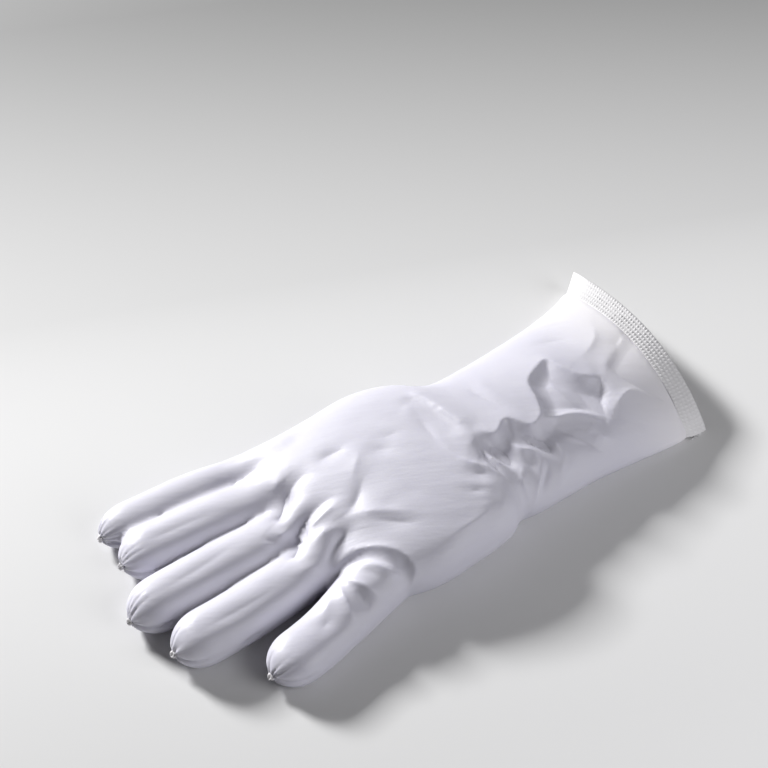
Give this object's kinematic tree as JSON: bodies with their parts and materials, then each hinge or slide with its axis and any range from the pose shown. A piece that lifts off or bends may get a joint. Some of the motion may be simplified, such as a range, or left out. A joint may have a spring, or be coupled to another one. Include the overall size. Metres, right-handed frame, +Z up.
{
  "type": "disposable nitrile glove",
  "caption": "Long-cuff disposable glove of thin white nitrile film lying with its back up, gathered fingertips and an embossed hem round the open mouth.",
  "frame": {"origin": "centre of the underside's bounding rectangle, on the table", "axes": "+Z up off the back of the hand, +X out of the cuff's mouth, -Y towards the thumb"},
  "size_m": [0.306, 0.1296, 0.038],
  "materials": {
    "film": "white nitrile film with a satin sheen and lilac shading",
    "hem": "translucent white embossed film, glossy on the raised dots"
  },
  "bodies": {
    "root": {"glove_film": "film", "cuff_band": "hem"}
  },
  "joints": []
}
